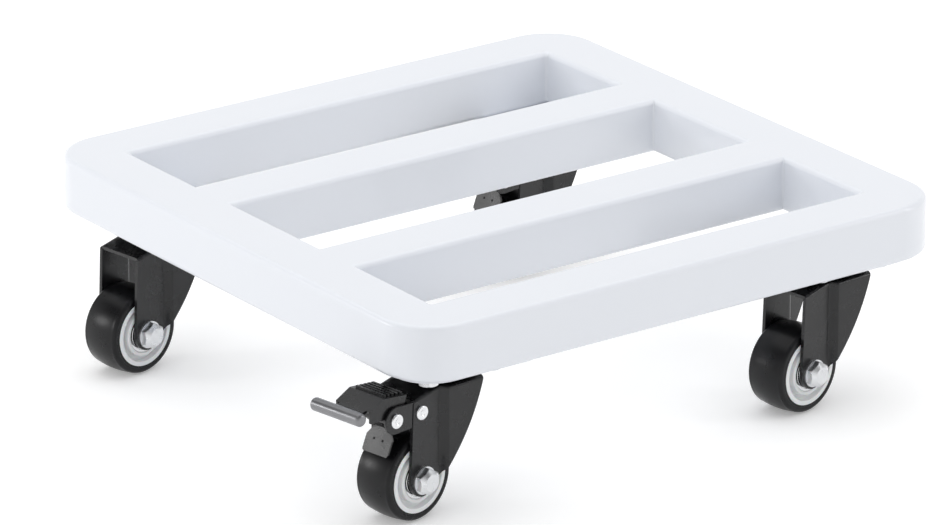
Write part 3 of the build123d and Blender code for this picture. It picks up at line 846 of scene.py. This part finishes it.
WHEEL_PIECES = (
    ("tyre_cast", "tyre", "tyre_black", [tyre_profile()]),
    ("core_moulded", "wheel_core", "white_nylon", [core_profile()]),
    ("bearing_pair", "bearings", "bearing_steel", [bearing_profile(), bearing_profile() * [1, -1]]),
)
for name, node, slot, profiles in WHEEL_PIECES:
    solids = [spun(profile) for profile in profiles]
    for corner in CORNERS:
        grids = [(on_caster(s, corner), grid_faces(s.shape, True, True)) for s in solids]
        piece = make_piece(f"{name}_{corner}", grids, slot, f"wheel_{corner}", [f"{node}_{corner}"], 30)
        flat_faces_first(piece)
    print("4 of", name, "with", sum(len(faces) for _, faces in grids), "faces")

# %% [markdown]
# The bolt's head is a hexagon whose corners were turned off on a cone, so its face is round. At each
# angle its radius is the smaller of the hexagon's and the cone's, which draws the curved edges of a real
# chamfer.

# %% Axle bolts
bolt_flats = 13.0
bolt_head_height = 5.3
bolt_seat = 16.2
bolt_face_radius = 4.7
face_dish_depth, face_dish_rim = 0.15, 1.1
cone_start, cone_end = 0.25, 2.6
cone_slope = 1.15
axle_radius = 4.0
bolt_tail_end = -24.2
tail_chamfer = 0.5


def axle_bolt():
    """Rows are angles round the axle. Columns run from the face's middle out over the head to the tail."""
    angle = np.linspace(0, 2 * np.pi, 96, endpoint=False)[:, None]
    hexagon = bolt_flats / 2 / np.cos((angle + np.pi / 6) % (np.pi / 3) - np.pi / 6)
    face_depth = [face_dish_depth, 0.0, 0.0]
    cone_depth = np.linspace(cone_start, cone_end, 12)
    depth = np.concatenate([face_depth, cone_depth, [bolt_head_height, bolt_head_height]])
    cone = bolt_face_radius + cone_slope * depth
    cone[:3] = 0, bolt_face_radius - face_dish_rim, bolt_face_radius
    radius = np.minimum(hexagon, cone)
    radius[:, -1] = axle_radius
    along = bolt_seat + bolt_head_height - depth
    tail = np.array([
        [axle_radius, bolt_tail_end + tail_chamfer], [axle_radius - tail_chamfer, bolt_tail_end],
        [0, bolt_tail_end],
    ])
    radius = np.concatenate([radius, np.broadcast_to(tail[:, 0], (len(angle), len(tail)))], 1)
    along = np.concatenate([along, tail[:, 1]])
    points = np.stack(np.broadcast_arrays(
        radius * np.cos(angle), -along, radius * np.sin(angle)
    ), -1)
    return points, grid_faces(points.shape, close_rows=True)


bolt_points, bolt_faces = axle_bolt()
for corner in CORNERS:
    grids = [(on_caster(bolt_points, corner), bolt_faces)]
    flat_faces_first(make_piece(
        f"bolt_{corner}", grids, "zinc_steel", f"caster_{corner}", [f"axle_bolt_{corner}"], 25
    ))
print("4 bolts with faces", 2 * bolt_face_radius, "mm across")

# %% [markdown]
# Each brake pin is riveted: a punch spreads its end into a low round head with a dish in the middle. The
# dish and the head's rounded rim catch the light in different places, which a plain ball end would not.

# %% Brake pins
SHOE_PIVOT = (-1.5, 38.2)
pin_spin_steps = 64
pin_radius = 2.5
pin_head_radius = 4.1
pin_head_height = 1.5
pin_head_round = 0.9
# The punched dish, from its middle outwards, as radius and height above the sheet.
PIN_DISH = np.array([[0, 1.0], [0.9, 1.0], [1.35, 1.12], [1.75, 1.4], [2.1, pin_head_height]])


def brake_pin(pivot, seat):
    """A spun pin: dished round heads on both ends, outside the sheet it is riveted through."""
    rim_centre = (pin_head_radius - pin_head_round, seat + pin_head_height - pin_head_round)
    rim = arc(rim_centre, pin_head_round, 90, 0, 8)
    under = [[pin_head_radius, seat], [pin_radius, seat]]
    half = np.concatenate([PIN_DISH + [0, seat], rim, under])
    points = spun(both_sides(half), pin_spin_steps)
    return points + [pivot[0], 0, pivot[1]]


for corner in BRAKED:
    pins = [brake_pin(PEDAL_PIVOT, ear_outer), brake_pin(SHOE_PIVOT, fork_half)]
    grids = [(on_caster(pin, corner), grid_faces(pin.shape, close_rows=True)) for pin in pins]
    flat_faces_first(make_piece(
        f"rivets_{corner}", grids, "bearing_steel", f"caster_{corner}", [f"brake_pins_{corner}"], 35
    ))
print("2 pins on each of", len(BRAKED), "brakes")

# %% [markdown]
# Pedals, shoes and top plates have the right shape in CAD, but real pressed steel has no knife edges. A
# merged copy of each gets a small bevel, so that its edges draw thin lines of light.

# %% Pressed pieces with eased edges
# Each row is the piece, the corners that have one, its body, its finish and the bevel's width in mm.
EASED = (
    ("pedal", BRAKED, "pedal", "black_steel", 0.4),
    ("shoe", BRAKED, "shoe", "black_steel", 0.25),
    ("top_plate", CORNERS, "caster", "black_steel", 0.3),
)
flat_degrees = 1.0
sharp_edge_degrees = 30


def eased_copy(node, body, width_mm):
    """A copy of a CAD node with its points merged and its flat faces joined, ready for a bevel."""
    mesh = nodes[node].data.copy()
    mesh.name = f"{node}_eased"
    work = bmesh.new()
    work.from_mesh(mesh)
    bmesh.ops.remove_doubles(work, verts=work.verts, dist=merge_distance * MM)
    bmesh.ops.dissolve_limit(
        work, angle_limit=np.radians(flat_degrees), verts=work.verts, edges=work.edges
    )
    work.to_mesh(mesh)
    work.free()
    mesh.shade_smooth()
    mesh.set_sharp_from_angle(angle=np.radians(sharp_edge_degrees))
    piece = bpy.data.objects.new(mesh.name, mesh)
    bpy.context.scene.collection.objects.link(piece)
    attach(piece, body)
    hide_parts(node)
    ease_edges(piece, width_mm, degrees=40)


for kind, corners, body, slot, width in EASED:
    for corner in corners:
        eased_copy(f"{kind}_{corner}", f"{body}_{corner}", width)
print("eased", ", ".join(kind for kind, *_ in EASED))
